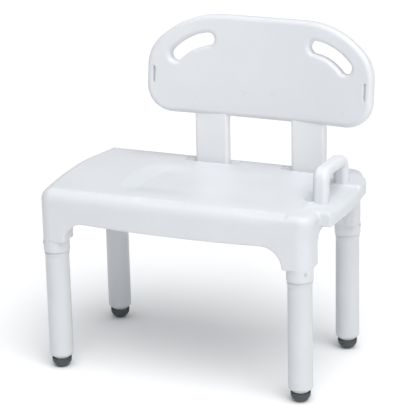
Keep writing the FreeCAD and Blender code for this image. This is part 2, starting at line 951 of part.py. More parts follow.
def seat_shell():
    """The whole seat as one blow-moulded solid."""
    plan, side, ends = seat_slab()
    aprons = [seat_apron(-1), seat_apron(1)]
    bosses = [seat_boss(corner) for corner in CORNERS]
    lower = fuse("seat_lower", aprons + bosses + [seat_end(-1), seat_end(1)])
    skirt = common("seat_skirt", [lower, side])
    slab = common("seat_top_slab", [plan, side, ends])
    rim = common("seat_rim", [fuse("seat_body", [skirt, slab]), ends])
    solid = fuse("seat_solid", [rim, seat_shelf()] + [seat_socket(side_name) for side_name in SIDES])
    cuts = seat_cavities() + seat_hollows()
    for side_name in SIDES:
        cuts += seat_socket_cuts(side_name)
        cuts.append(front_recess(side_name))
    for corner in CORNERS:
        bore = cylinder("bore_" + corner, size("sleeve_radius") + 0.05, size("sleeve_top") - 300 + 1, (0, 0, 300))
        place = leg_place(corner)
        put(bore, place["x"], place["y"], 300)
        cuts.append(bore)
        cuts.append(sleeve_screw_part(corner, "seat_hole"))
    foot_low = size("handle_base")
    for name, y in handle_bolt_y().items():
        x = size("handle_x")
        cuts.append(cylinder("handle_hole_" + name, size("bolt_radius") + 0.4, 200, (x, y, 400)))
        pad_half = size("handle_thickness") / 2
        deep = 18.7 if name == "front" else 15.8
        low_corner, high_corner = (x - pad_half - 0.2, y - deep), (x + pad_half + 0.2, y + deep)
        pocket_corners = rounded(low_corner, high_corner, 8)
        cuts.append(prism("handle_seat_" + name, "XY_Plane", pocket_corners, 30, height=foot_low))
    finish(cut("seat_cut", solid, cuts), "seat_shell")


def back_outline(inset=0):
    """The panel's outline: round bottom corners, and a nearly flat top that falls away to the sides."""
    middle, half = size("back_middle_x"), size("back_half_width") - inset
    low, high = size("back_bottom") + inset, size("back_top") - inset
    shoulder = size("back_shoulder") - inset * 0.4
    crown = size("back_crown_half") - inset * 0.4
    return softened(
        [
            (middle - half, low, 52 - inset),
            (middle + half, low, 52 - inset),
            (middle + half, shoulder, 95 - inset),
            (middle + crown, high, 215 - inset),
            (middle - crown, high, 215 - inset),
            (middle - half, shoulder, 95 - inset),
        ]
    )


def back_band(name, inset=0):
    """A curved slab seen from above as a band whose ends come forward; its middle line crosses the posts."""
    middle, half = size("back_middle_x"), size("back_half_width") + 5
    curve, depth = size("back_curve"), size("back_thickness") / 2 - inset
    offset = size("post_spacing") / 2
    sag = curve.number - math.sqrt(curve.number**2 - offset.number**2)
    centre = post_y() + sag - curve
    front, rear = curve - depth, curve + depth
    front_end = centre + math.sqrt(front.number**2 - half.number**2)
    rear_end = centre + math.sqrt(rear.number**2 - half.number**2)
    low = size("back_bottom") - 5
    corners = [
        (middle - half, rear_end),
        (middle - half, front_end),
        (middle + half, front_end),
        (middle + half, rear_end),
    ]
    corners[1] = (*corners[1], Bend(front, -1))
    corners[3] = (*corners[3], Bend(rear, 1))
    return prism(name, "XY_Plane", corners, size("back_top") + 5 - low, height=low)


def hand_slot(side, extra):
    """The cutter of one curved hand slot, or of the wall round it."""
    sign = SIDES[side]
    middle, base = size("back_middle_x"), size("bend_height")
    half = 16.5 + extra
    (far_x, low), (near_x, high) = SLOT_ENDS
    along = FreeCAD.Vector(far_x - near_x, low - high, 0).normalize()
    side_x, side_z = -along.y * half, along.x * half
    low_outer = (middle + sign * (far_x + side_x), base + low + side_z)
    low_inner = (middle + sign * (far_x - side_x), base + low - side_z)
    high_outer = (middle + sign * (near_x + side_x), base + high + side_z)
    high_inner = (middle + sign * (near_x - side_x), base + high - side_z)
    turn = 1 if sign > 0 else -1
    corners = [
        (*low_inner, Bend(half, turn)),
        (*low_outer, Bend(190 + half, turn)),
        (*high_outer, Bend(half, turn)),
        (*high_inner, Bend(190 - half, -turn)),
    ]
    return prism(f"hand_slot_{side}_{extra}", "XZ_Plane", corners, 120, height=-post_y() - 60)


def strap_slot(side, extra):
    """The cutter of one narrow blind slot near an end of the panel's front, or of the wall round it."""
    x = size("back_middle_x") + SIDES[side] * (size("back_half_width") - 18.5)
    base = size("bend_height")
    face = post_y() - size("back_thickness") / 2 - 14.5
    return box(
        f"strap_slot_{side}_{extra}",
        (x - 2 - extra, face - 8, base + 61 - extra),
        (x + 2 + extra, face + 7 + extra, base + 103 + extra),
    )


def post_form(name, side, inset, low, high):
    """A post's form, bent where the backrest begins to lean, smaller all round by an inset."""
    x, y, bend = post_x(side), post_y(), size("bend_height")
    half = size("post_thickness") / 2 - inset
    width = size("post_width") - inset * 2
    mitre = half * lean("half_tangent")
    reach = high - bend
    top_y = y + reach * lean("sine")
    top_z = bend + reach * lean("cosine")
    corners = [
        (y - half, low),
        (y + half, low),
        (y + half, bend - mitre),
        (top_y + half * lean("cosine"), top_z - half * lean("sine")),
        (top_y - half * lean("cosine"), top_z + half * lean("sine")),
        (y - half, bend + mitre),
    ]
    body = new_body(name)
    sketch = outline(body, name + "_profile", "YZ_Plane", corners, x - width / 2)
    bar = pad(body, sketch, width)
    document.recompute()
    faces = [(x - width / 2).number, (x + width / 2).number]
    wanted = []
    for index, edge in enumerate(bar.Shape.Edges, start=1):
        places = [vertex.Point.x for vertex in edge.Vertexes]
        if any(all(abs(place - face) < 0.01 for place in places) for face in faces):
            wanted.append(f"Edge{index}")
    rolled = body.newObject("PartDesign::Fillet", name + "_edge")
    rolled.Base = (bar, wanted)
    bind(rolled, Radius=size("post_edge_round") - inset)
    return body


def back_screw_places():
    """The places of the eight screws that hold the panel on its posts, before the backrest leans."""
    return [
        (post_x(side) + offset, size("bend_height") + height)
        for side in SIDES
        for offset in (-24, 24)
        for height in (30, 85)
    ]


def back_rear(x):
    """How far back the panel's rear face is at a place along it, before the backrest leans."""
    offset = size("post_spacing").number / 2
    curve = DIMENSIONS["back_curve"]
    away = x.number - DIMENSIONS["back_middle_x"]
    rear = curve + DIMENSIONS["back_thickness"] / 2
    rise = math.sqrt(rear**2 - away**2) - math.sqrt(curve**2 - offset**2)
    return post_y() + rise


def back_panel():
    """The blow-moulded backrest panel: hollow, with walls round its slots and sockets for the posts."""
    wall, depth = size("back_wall"), size("back_thickness")
    full = prism("panel_outline", "XZ_Plane", back_outline(), 160, height=-post_y() - 80)
    slab = common("panel_slab", [back_band("panel_band"), full])
    document.recompute()
    wanted = []
    for index, edge in enumerate(slab.Shape.Edges, start=1):
        if edge.CenterOfMass.y < 1:
            continue
        ends = [vertex.Point for vertex in edge.Vertexes]
        if all(abs(ends[0].y - end.y) > depth.number - 1 for end in ends[1:]) and len(ends) > 1:
            continue
        wanted.append((index, DIMENSIONS["back_edge_round"], DIMENSIONS["back_edge_round"]))
    rolled = document.addObject("Part::Fillet", "panel_rolled")
    rolled.Base = slab
    rolled.Edges = wanted
    inside = prism("panel_inside", "XZ_Plane", back_outline(8), 160, height=-post_y() - 80)
    cavity = common("panel_cavity", [back_band("panel_inner_band", wall.number), inside])
    walls = [hand_slot(side, 4) for side in SIDES]
    walls += [strap_slot(side, 3.5) for side in SIDES]
    for side in SIDES:
        half = size("post_width") / 2 + size("panel_socket_wall")
        x, y = post_x(side), post_y()
        low_corner = (x - half, y - 40, size("back_bottom") - 5)
        high_corner = (x + half, y + 40, size("post_top") + size("panel_socket_wall"))
        walls.append(box("panel_socket_block_" + side, low_corner, high_corner))
    cuts = [cut("panel_hollow", cavity, walls)]
    cuts += [hand_slot(side, 0) for side in SIDES]
    cuts += [strap_slot(side, 0) for side in SIDES]
    for number, (x, z) in enumerate(back_screw_places()):
        radius = size("screw_radius") + 0.1
        cuts.append(cylinder(f"panel_screw_hole_{number}", radius, 30, (x, post_y() + 5, z), axis=(0, 1, 0)))
    leaning = lean_back(cut("panel_leaning", rolled, cuts))
    gap = size("panel_socket_gap")
    low, high = size("back_bottom") - 15, size("post_top") + gap
    sockets = [post_form("panel_socket_" + side, side, -gap, low, high) for side in SIDES]
    finish(cut("panel_cut", leaning, sockets), "back_panel")


def posts_screws(side):
    """The numbers and places of the screws that hold one post."""
    middle = size("back_middle_x").number
    places = enumerate(back_screw_places())
    return [(number, x, z) for number, (x, z) in places if (x.number < middle) == (side == "left")]


def back_post(side):
    """A flat hollow bent post with closed ends, solid blocks for its inserts and a hole for its button."""
    x, y = post_x(side), post_y()
    deep, wall = size("post_thickness") / 2, size("post_wall")
    low, high = size("post_bottom"), size("post_top")
    outer = post_form("post_outer_" + side, side, as_size(0), low, high)
    inner = post_form("post_inner_" + side, side, wall, low + wall, high - wall)
    blocks, holes = [], []
    for number, screw_x, screw_z in posts_screws(side):
        base = (screw_x, y - deep, screw_z)
        blocks.append(cylinder(f"insert_block_{number}", 8, size("post_thickness"), base, axis=(0, 1, 0)))
        hole = (screw_x, y + deep - size("insert_length"), screw_z)
        holes.append(cylinder(f"insert_hole_{number}", size("insert_radius"), 30, hole, axis=(0, 1, 0)))
    leaning_blocks = lean_back(fuse("insert_blocks_" + side, blocks))
    cuts = [cut("post_hollow_" + side, inner, [leaning_blocks])]
    cuts.append(lean_back(fuse("insert_holes_" + side, holes)))
    button_base = (x, y - deep - 5, size("button_height"))
    cuts.append(cylinder("button_hole_" + side, size("button_radius") + 0.25, 12, button_base, axis=(0, 1, 0)))
    finish(cut("post_cut_" + side, outer, cuts), "back_post_" + side)


def back_fasteners():
    """The pan-head screws through the panel's rear face and the inserts in the posts that take them."""
    screws, inserts = [], []
    post_rear = size("post_front") + size("post_thickness")
    radius, length = size("screw_radius"), size("insert_length")
    for number, (x, z) in enumerate(back_screw_places()):
        tip = post_rear - length + 4
        face = back_rear(x) + 0.5
        shank = cylinder(f"screw_shank_{number}", radius, face - tip, (x, tip, z), axis=(0, 1, 0))
        head_radius, head_height = size("screw_head_radius"), size("screw_head_height")
        head = cylinder(f"screw_head_{number}", head_radius, head_height, (x, face, z), axis=(0, 1, 0))
        screws.append(fuse(f"screw_{number}", [shank, head]))
        base = (x, post_rear - length, z)
        sleeve = cylinder(f"insert_sleeve_{number}", size("insert_radius"), length, base, axis=(0, 1, 0))
        bore = cylinder(f"insert_bore_{number}", radius, length, (x, tip, z), axis=(0, 1, 0))
        inserts.append(cut(f"insert_{number}", sleeve, [bore]))
    finish(lean_back(group("screw_group", screws)), "back_screws")
    finish(lean_back(group("insert_group", inserts)), "back_inserts")


def post_button(side):
    """The button in a post's front face under the seat, and the bent strip that pushes it out."""
    x, height, radius = post_x(side), size("button_height"), size("button_radius")
    face = size("post_front")
    inside = face + size("post_wall")
    tip = face - size("button_proud")
    stem = cylinder("button_stem_" + side, radius, inside - tip + 1, (x, tip, height), axis=(0, 1, 0))
    flange = cylinder("button_flange_" + side, radius + 1.2, 1.5, (x, inside, height), axis=(0, 1, 0))
    finish(fuse("button_" + side, [stem, flange]), "back_button_" + side)
    low = size("post_bottom") + size("post_wall")
    back = size("post_front") + size("post_thickness") - size("post_wall")
    strip = 0.8
    near = inside + 1.5
    corners = [
        (near, height - 5),
        (near + strip, height - 5),
        (near + strip, height + 22),
        (back - strip, height + 58),
        (back - strip, low + 1),
        (back, low + 1),
        (back, height + 60),
        (back - 2 * strip, height + 60),
        (near, height + 22.5),
    ]
    spring = prism("button_spring_body_" + side, "YZ_Plane", corners, 8, height=x - 4)
    finish(spring, "back_button_spring_" + side)


def handle_outline():
    """The handle from the side: an inverted U with a rounded front shoulder and a rounder, lower rear one."""
    front, rear = -size("handle_front"), size("handle_rear")
    low, high = size("handle_base"), size("handle_top")
    return softened(
        [
            (front, low, 0),
            (front + 36, low, 0),
            (front + 37, high - 27, 12),
            (rear - 32, high - 32, 14),
            (rear - 30, low, 0),
            (rear, low, 0),
            (rear - 3, high - 6, 42),
            (front + 7, high, 28),
        ]
    )


def side_handle():
    """The blow-moulded handle, with a hole up each post for its insert."""
    body = new_body("handle_body")
    sketch = outline(body, "handle_outline", "YZ_Plane", handle_outline(), size("handle_x"))
    slab = pad(body, sketch, size("handle_thickness"), both_ways=True)
    document.recompute()
    base = size("handle_base").number
    faces = [size("handle_x").number + sign * size("handle_thickness").number / 2 for sign in (-1, 1)]
    wanted = []
    for index, edge in enumerate(slab.Shape.Edges, start=1):
        points = [vertex.Point for vertex in edge.Vertexes]
        on_face = any(all(abs(point.x - face) < 0.01 for point in points) for face in faces)
        if on_face and max(point.z for point in points) > base + 1:
            wanted.append(f"Edge{index}")
    rolled = body.newObject("PartDesign::Fillet", "handle_edge")
    rolled.Base = (slab, wanted)
    bind(rolled, Radius=size("handle_edge_round"))
    holes = []
    for name, y in handle_bolt_y().items():
        place = (size("handle_x"), y, base)
        holes.append(cylinder("handle_insert_hole_" + name, size("insert_radius"), 26, place))
    finish(cut("handle_cut", body, holes), "side_handle")


def handle_fasteners():
    """The bolts that hold the handle from below, their washers and the inserts they screw into."""
    bolts, washers, inserts = [], [], []
    x, base = size("handle_x"), size("handle_base")
    under = size("end_wall_bottom")
    seat = under - size("washer_thickness")
    for name, y in handle_bolt_y().items():
        shank = cylinder("bolt_shank_" + name, size("bolt_radius"), base + 18 - seat, (x, y, seat))
        head_radius, head_height = size("bolt_head_radius"), size("bolt_head_height")
        head = cylinder("bolt_head_" + name, head_radius, head_height, (x, y, seat - head_height))
        bolts.append(fuse("bolt_" + name, [shank, head]))
        disc = cylinder("washer_disc_" + name, size("washer_radius"), size("washer_thickness"), (x, y, seat))
        hole = cylinder("washer_hole_" + name, size("bolt_radius") + 0.1, 10, (x, y, seat - 2))
        washers.append(cut("washer_" + name, disc, [hole]))
        sleeve = cylinder("handle_insert_sleeve_" + name, size("insert_radius"), 25, (x, y, base + 0.5))
        bore = cylinder("handle_insert_bore_" + name, size("bolt_radius"), 18, (x, y, base))
        inserts.append(cut("handle_insert_" + name, sleeve, [bore]))
    finish(group("bolt_group", bolts), "handle_bolts")
    finish(group("washer_group", washers), "handle_washers")
    finish(group("handle_insert_group", inserts), "handle_inserts")


def check_and_write():
    """Recomputes the document, checks every object and writes one STEP file for each piece."""
    document.recompute()
    for item in document.Objects:
        bad = [state for state in item.State if state in ("Invalid", "Error")]
        if bad:
            raise RuntimeError(f"{item.Name} ({item.Label}) is {bad}: {item.getStatusString()}")
    os.makedirs("parts", exist_ok=True)
    for item in finished:
        shape = item.Shape
        if shape.isNull() or not shape.isValid() or not shape.Solids:
            raise RuntimeError(f"{item.Label} has no valid solid")
        shape.exportStep(f"parts/{item.Label}.step")
        extent = shape.BoundBox
        print(
            f"{item.Label:30s} solids {len(shape.Solids):2d}  volume {shape.Volume / 1000:9.1f} cm3  "
            f"x {extent.XMin:7.1f} {extent.XMax:7.1f}  y {extent.YMin:7.1f} {extent.YMax:7.1f}  "
            f"z {extent.ZMin:6.1f} {extent.ZMax:6.1f}"
        )


seat_shell()
for corner_name in CORNERS:
    leg_sleeve(corner_name)
    leg_tube(corner_name)
    leg_foot(corner_name)
    lock_pin(corner_name)
    lock_spring(corner_name)
back_panel()
for side_name in SIDES:
    back_post(side_name)
    post_button(side_name)
back_fasteners()
side_handle()
handle_fasteners()
sleeve_screws()
check_and_write()
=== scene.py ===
"""Bath transfer bench: its moulded forms, materials, light and camera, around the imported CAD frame.

Forms are described in millimetres: X along the bench, Y from the front to the backrest, Z up from the floor.
Each is a signed distance, negative inside, and draw_surface() makes a mesh where it is zero.
"""

import math

import bpy
import numpy as np
from mathutils import Matrix, Vector


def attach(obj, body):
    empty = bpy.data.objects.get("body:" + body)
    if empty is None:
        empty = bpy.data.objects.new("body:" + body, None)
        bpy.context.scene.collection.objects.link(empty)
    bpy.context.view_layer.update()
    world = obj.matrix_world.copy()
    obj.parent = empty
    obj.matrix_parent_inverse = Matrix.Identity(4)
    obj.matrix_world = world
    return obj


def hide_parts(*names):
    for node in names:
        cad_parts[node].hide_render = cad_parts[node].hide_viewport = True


MM = 0.001
LEG_MIDDLE = -16.5
LEG_HALF_X, LEG_HALF_Y = 310.0, 170.0
# name: (side along X, side along Y, direction in which the lock pin points, in degrees from +X)
CORNERS = {
    "front_left": (-1, -1, 225),
    "front_right": (1, -1, 315),
    "rear_left": (-1, 1, 180),
    "rear_right": (1, 1, 0),
}
PIN_HEIGHT = 325
LEG_RADIUS, LEG_TOP, LEG_BOTTOM = 29, 416, 29
STUB_RADIUS, STUB_BOTTOM = 19.5, 10
HOLE_RADIUS, HOLE_PITCH, HOLE_COUNT = 4.3, 12.7, 7
COLLAR_RADIUS, COLLAR_BOTTOM = 31.75, 302
SLEEVE_RADIUS, SLEEVE_TOP = 31, 419
FOOT_RADIUS, FOOT_RIM = 24, 25
SEAT_TOP = 460.0
SEAT_LEFT, SEAT_RIGHT, SEAT_EDGE = -358.5, 325.5, 202.0
SEAT_BOW, SEAT_FLARE = 12, 6
SLAB_BOTTOM, APRON_BOTTOM, END_WALL_BOTTOM, BLOCK_BOTTOM = 415, 382, 408, 330
SHELF_BOTTOM, SHELF_REACH, SHELF_FRONT, SHELF_REAR = 424, 359, -140, 172
SOCKET_BOTTOM = 401
BACK_MIDDLE = 78.9
BACK_HALF_WIDTH, BACK_BOTTOM, BACK_SHOULDER, BACK_TOP = 288.5, 577, 731, 822.8
BACK_CROWN_HALF = 196
BACK_DEPTH = 17.5  # half the panel's thickness
BACK_CURVE = 2000.0
BACK_SAG = 3.9  # how far the curved panel's middle lies behind the posts
HAND_SLOT_ENDS = ((217, 719), (138, 761))
STRAP_SLOT = (270, 667)
LEAN = math.radians(8)
BEND_Z = 585.0
POST_X = {"left": -45.85, "right": 203.65}
POST_Y = 147.5
POST_HALF = (42.5, 13.5)
POST_BOTTOM, POST_TOP = 388, 695
HANDLE_X = 308.5
HANDLE_HALF = 18
HANDLE_FRONT, HANDLE_REAR, HANDLE_BASE, HANDLE_TOP = -83, 95, 447, 539.5

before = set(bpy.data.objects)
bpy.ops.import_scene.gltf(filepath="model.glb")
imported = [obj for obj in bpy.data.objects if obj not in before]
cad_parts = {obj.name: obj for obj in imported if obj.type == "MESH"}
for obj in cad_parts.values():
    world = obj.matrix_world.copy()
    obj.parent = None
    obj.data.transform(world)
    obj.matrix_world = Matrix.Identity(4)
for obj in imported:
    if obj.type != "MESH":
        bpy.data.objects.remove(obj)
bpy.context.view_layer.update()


# distances -----------------------------------------------------------------------------------------


def round_join(a, b, radius):
    """The union of two shapes with a hollow fillet where they meet."""
    away_a = np.maximum(radius - a, 0)
    away_b = np.maximum(radius - b, 0)
    return np.maximum(radius, np.minimum(a, b)) - np.sqrt(away_a**2 + away_b**2)


def round_meet(a, b, radius):
    """What two shapes share, with a rounded edge where they meet."""
    into_a = np.maximum(radius + a, 0)
    into_b = np.maximum(radius + b, 0)
    return np.minimum(-radius, np.maximum(a, b)) + np.sqrt(into_a**2 + into_b**2)


def round_cut(a, b, radius):
    """a less b, with a rounded rim."""
    return round_meet(a, -b, radius)


def step(value, low, high):
    """0 below low, 1 above high, and a smooth rise between."""
    share = np.clip((value - low) / (high - low), 0, 1)
    return share * share * (3 - 2 * share)


def rounded_rectangle(u, v, centre, half, radius):
    """A flat distance to a rounded rectangle."""
    a = np.abs(u - centre[0]) - half[0] + radius
    b = np.abs(v - centre[1]) - half[1] + radius
    return np.minimum(np.maximum(a, b), 0) + np.hypot(np.maximum(a, 0), np.maximum(b, 0)) - radius


def between(value, low, high):
    """The distance to the layer between two levels."""
    return np.abs(value - (low + high) / 2) - (high - low) / 2


def softened(corners, turn=6.0):
    """A closed outline from polygon corners (u, v, radius), with arcs in steps of about turn degrees."""
    result = []
    places = [np.array(corner[:2], float) for corner in corners]
    for index, corner in enumerate(corners):
        here, radius = places[index], corner[2]
        if radius == 0:
            result.append(here)
            continue
        back = places[index - 1] - here
        ahead = places[(index + 1) % len(places)] - here
        back, ahead = back / np.hypot(*back), ahead / np.hypot(*ahead)
        half = math.acos(float(np.clip(back @ ahead, -1, 1))) / 2
        middle = (back + ahead) / np.hypot(*(back + ahead))
        centre = here + middle * radius / math.sin(half)
        begin = here + back * radius / math.tan(half) - centre
        end = here + ahead * radius / math.tan(half) - centre
        sweep = math.atan2(begin[0] * end[1] - begin[1] * end[0], begin @ end)
        count = max(2, int(abs(math.degrees(sweep)) / turn) + 1)
        start = math.atan2(begin[1], begin[0])
        for number in range(count + 1):
            angle = start + sweep * number / count
            result.append(centre + radius * np.array([math.cos(angle), math.sin(angle)]))
    return np.array(result)


def arc_points(start, end, sagitta, count=16):
    """Points along an arc that bulges by sagitta to the right of the way from start to end."""
    start, end = np.array(start, float), np.array(end, float)
    chord = end - start
    length = np.hypot(*chord)
    right = np.array([chord[1], -chord[0]]) / length
    radius = (length**2 / 4 + sagitta**2) / (2 * sagitta)
    centre = (start + end) / 2 + right * (sagitta - radius)
    begin = start - centre
    sweep = 2 * math.asin(min(1, length / (2 * abs(radius)))) * (1 if sagitta > 0 else -1)
    angle = math.atan2(begin[1], begin[0])
    points = []
    for number in range(count + 1):
        now = angle + sweep * number / count
        points.append(centre + abs(radius) * np.array([math.cos(now), math.sin(now)]))
    return points


def outline_distance(u, v, points):
    """A flat distance to a closed outline of points."""
    u, v = np.broadcast_arrays(np.asarray(u, float), np.asarray(v, float))
    nearest = np.full(u.shape, np.inf)
    inside = np.zeros(u.shape, bool)
    for index in range(len(points)):
        (au, av), (bu, bv) = points[index - 1], points[index]
        du, dv = bu - au, bv - av
        square = du * du + dv * dv
        if square < 1e-12:
            continue
        share = np.clip(((u - au) * du + (v - av) * dv) / square, 0, 1)
        nearest = np.minimum(nearest, (u - au - share * du) ** 2 + (v - av - share * dv) ** 2)
        if dv != 0:
            crosses = ((av > v) != (bv > v)) & (u < au + (v - av) * du / dv)
            inside ^= crosses
    return np.sqrt(nearest) * np.where(inside, -1, 1)


def path_distance(u, v, points):
    """A flat distance to an open path of points."""
    nearest = np.inf
    for (au, av), (bu, bv) in zip(points[:-1], points[1:]):
        du, dv = bu - au, bv - av
        share = np.clip(((u - au) * du + (v - av) * dv) / (du * du + dv * dv), 0, 1)
        nearest = np.minimum(nearest, np.hypot(u - au - share * du, v - av - share * dv))
    return nearest


# surfaces ------------------------------------------------------------------------------------------


def draw_surface(name, shape, low, high, cell):
    """A mesh of the surface where shape(x, y, z) is zero, from cells that fill a box."""
    axes = [np.arange(a - cell, b + cell * 2, cell) + 0.137 * cell for a, b in zip(low, high)]
    x, y, z = axes[0][:, None, None], axes[1][None, :, None], axes[2][None, None, :]
    field = np.broadcast_to(shape(x, y, z), [len(axis) for axis in axes]).astype(np.float32)
    inside = field < 0
    cells = tuple(count - 1 for count in field.shape)
    total = np.zeros(cells + (3,), np.float32)
    number = np.zeros(cells, np.float32)
    crossings = []
    for axis in range(3):
        lower = [slice(None)] * 3
        upper = [slice(None)] * 3
        lower[axis], upper[axis] = slice(0, -1), slice(1, None)
        first, second = field[tuple(lower)], field[tuple(upper)]
        changes = inside[tuple(lower)] != inside[tuple(upper)]
        at = np.argwhere(changes)
        share = first[changes] / (first[changes] - second[changes])
        point = at.astype(np.float32)
        point[:, axis] += share
        crossings.append((axis, at, inside[tuple(lower)][changes]))
        others = [other for other in range(3) if other != axis]
        for shift_a in (0, -1):
            for shift_b in (0, -1):
                cell_at = at.copy()
                cell_at[:, others[0]] += shift_a
                cell_at[:, others[1]] += shift_b
                good = np.all((cell_at >= 0) & (cell_at < np.array(cells)), axis=1)
                index = tuple(cell_at[good].T)
                np.add.at(number, index, 1)
                for part in range(3):
                    np.add.at(total[..., part], index, point[good, part])
    used = number > 0
    ids = np.full(cells, -1, np.int64)
    ids[used] = np.arange(int(used.sum()))
    grid_points = total[used] / number[used][:, None]
    start = np.array([axis[0] for axis in axes])
    points = start + grid_points * cell
    nudge = 0.05
    for _ in range(2):
        value = shape(*points.T)
        slope = np.stack(
            [(shape(*(points + nudge * np.eye(3)[part]).T) - value) / nudge for part in range(3)], axis=1
        )
        size = np.maximum((slope**2).sum(axis=1), 0.2)
        move = -(value / size)[:, None] * slope
        length = np.maximum(np.linalg.norm(move, axis=1, keepdims=True), 1e-9)
        points = points + move * np.minimum(1, 0.5 * cell / length)
    faces = []
    for axis, at, starts_inside in crossings:
        b, c = [(1, 2), (2, 0), (0, 1)][axis]
        corner_ids = []
        for shift_b, shift_c in ((0, 0), (-1, 0), (-1, -1), (0, -1)):
            cell_at = at.copy()
            cell_at[:, b] += shift_b
            cell_at[:, c] += shift_c
            cell_at = np.clip(cell_at, 0, np.array(cells) - 1)
            corner_ids.append(ids[tuple(cell_at.T)])
        quad = np.stack(corner_ids, axis=1)
        quad[~starts_inside] = quad[~starts_inside][:, ::-1]
        faces.append(quad)
    faces = np.concatenate(faces)
    mesh = bpy.data.meshes.new(name)
    mesh.vertices.add(len(points))
    mesh.vertices.foreach_set("co", (points * MM).astype(np.float32).ravel())
    mesh.loops.add(len(faces) * 4)
    mesh.loops.foreach_set("vertex_index", faces.astype(np.int32).ravel())
    mesh.polygons.add(len(faces))
    mesh.polygons.foreach_set("loop_start", np.arange(0, len(faces) * 4, 4, dtype=np.int32))
    mesh.polygons.foreach_set("use_smooth", np.ones(len(faces), bool))
    mesh.update(calc_edges=True)
    mesh.validate()
    return mesh


def add_object(name, mesh, material, matrix=None):
    """An object in the scene with one material."""
    item = bpy.data.objects.new(name, mesh)
    bpy.context.scene.collection.objects.link(item)
    if not mesh.materials:
        mesh.materials.append(material)
    if matrix is not None:
        item.matrix_world = matrix
    return item


def leg_place(corner):
    """The place of one corner's leg."""
    side_x, side_y, _ = CORNERS[corner]
    return Matrix.Translation(Vector((LEG_MIDDLE + side_x * LEG_HALF_X, side_y * LEG_HALF_Y, 0)) * MM)


def turned_mesh(mesh, corner):
    """A copy of a mesh, turned to one corner's own direction."""
    copy = mesh.copy()
    copy.transform(Matrix.Rotation(math.radians(CORNERS[corner][2]), 4, "Z"))
    return copy


# shapes --------------------------------------------------------------------------------------------

SHELF_OUTLINE = [
    (276, SHELF_FRONT),
    *softened([(300, SHELF_FRONT, 0), (SHELF_REACH, SHELF_FRONT, 5), (SHELF_REACH + 1, -100, 0)])[1:-1],
    *arc_points((SHELF_REACH + 0.3, -134), (SHELF_REACH, 100), 6),
    *arc_points((SHELF_REACH, 100), (304, SHELF_REAR), 17)[1:],
    (276, SHELF_REAR),
]
HANDLE_OUTLINE = softened(
    [
        (HANDLE_FRONT, HANDLE_BASE, 0),
        (HANDLE_FRONT + 36, HANDLE_BASE, 0),
        (HANDLE_FRONT + 37, HANDLE_TOP - 27.5, 12),
        (HANDLE_REAR - 32, HANDLE_TOP - 32.5, 14),
        (HANDLE_REAR - 30, HANDLE_BASE, 0),
        (HANDLE_REAR, HANDLE_BASE, 0),
        (HANDLE_REAR - 3, HANDLE_TOP - 6.5, 42),
        (HANDLE_FRONT + 7, HANDLE_TOP, 28),
    ]
)
BACK_OUTLINE = softened(
    [
        (-BACK_HALF_WIDTH, BACK_BOTTOM, 66),
        (BACK_HALF_WIDTH, BACK_BOTTOM, 66),
        (BACK_HALF_WIDTH, BACK_SHOULDER, 95),
        (BACK_CROWN_HALF, BACK_TOP, 215),
        (-BACK_CROWN_HALF, BACK_TOP, 215),
        (-BACK_HALF_WIDTH, BACK_SHOULDER, 95),
    ]
)


def seat_plan(x, y):
    """The seat's outline from above: rounded corners and a bowed left-hand end."""
    bow = SEAT_BOW * np.maximum(1 - (y / 172) ** 2, 0) * (1 - step(x, -370, -200))
    middle, half = (SEAT_LEFT + SEAT_RIGHT) / 2, (SEAT_RIGHT - SEAT_LEFT) / 2
    return rounded_rectangle(x + bow, y, (middle, 0), (half, SEAT_EDGE), 34)


def seat_rim(x, y):
    """The radius of the seat's top edge, which is larger at the rear and smaller at the right."""
    radius = 30 + 18 * step(y, 40, 170)
    return radius + (18 - radius) * step(x, 190, 300)


def under_side(x, y, z):
    """What lies under the seat's top: aprons that arch down to the corner blocks, and shallow end walls."""
    from_blocks = 276 - np.abs(x - LEG_MIDDLE)
    belly = 5 * np.maximum(1 - ((x - LEG_MIDDLE) / 230) ** 2, 0)
    arch = round_join(APRON_BOTTOM - belly - z, from_blocks, 52)
    apron = round_meet(arch, 164 - np.abs(y), 8)
    taper = (z - BLOCK_BOTTOM) * 0.02
    across = round_join(END_WALL_BOTTOM - z, 132 + taper - np.abs(y), 34)
    ends = round_meet(across, np.minimum(x + 332, 299 - x), 8)
    blocks = rounded_rectangle(np.abs(x - LEG_MIDDLE), np.abs(y), (309, 169), (33, 33), 14)
    walls = round_join(apron, round_join(ends, blocks, 6), 6)
    return round_join(SLAB_BOTTOM - z, walls, 10)


def dish(x, y):
    """How far the sitting area sinks: a slope like a crescent on its left, soft edges elsewhere."""
    slope_start = np.interp(y, (-100, -81, 5, 59, 110), (-183, -186, -196, -179, -150))
    slope_end = np.interp(y, (-100, -73, -16, 42, 110), (-140, -143, -144, -128, -100))
    left = np.clip((x - slope_start) / (slope_end - slope_start), 0, 1)
    right = 1 - step(x, 160, 290)
    front_to_rear = step(y, -150, -80) * (1 - step(y, 30, 100))
    deep = 7 - 4.5 * step(x, -140, 60)
    return deep * left * right * front_to_rear


def shelf_hollow(x, y):
    """How far the shelf sinks below the seat's top round the handle's front foot."""
    rear = np.interp(x, (287, 338), (55, 70))
    inside = step(x, 295, 300) * (1 - step(y - rear, -3, 0)) * step(y, -128, -124)
    return 4.5 * inside


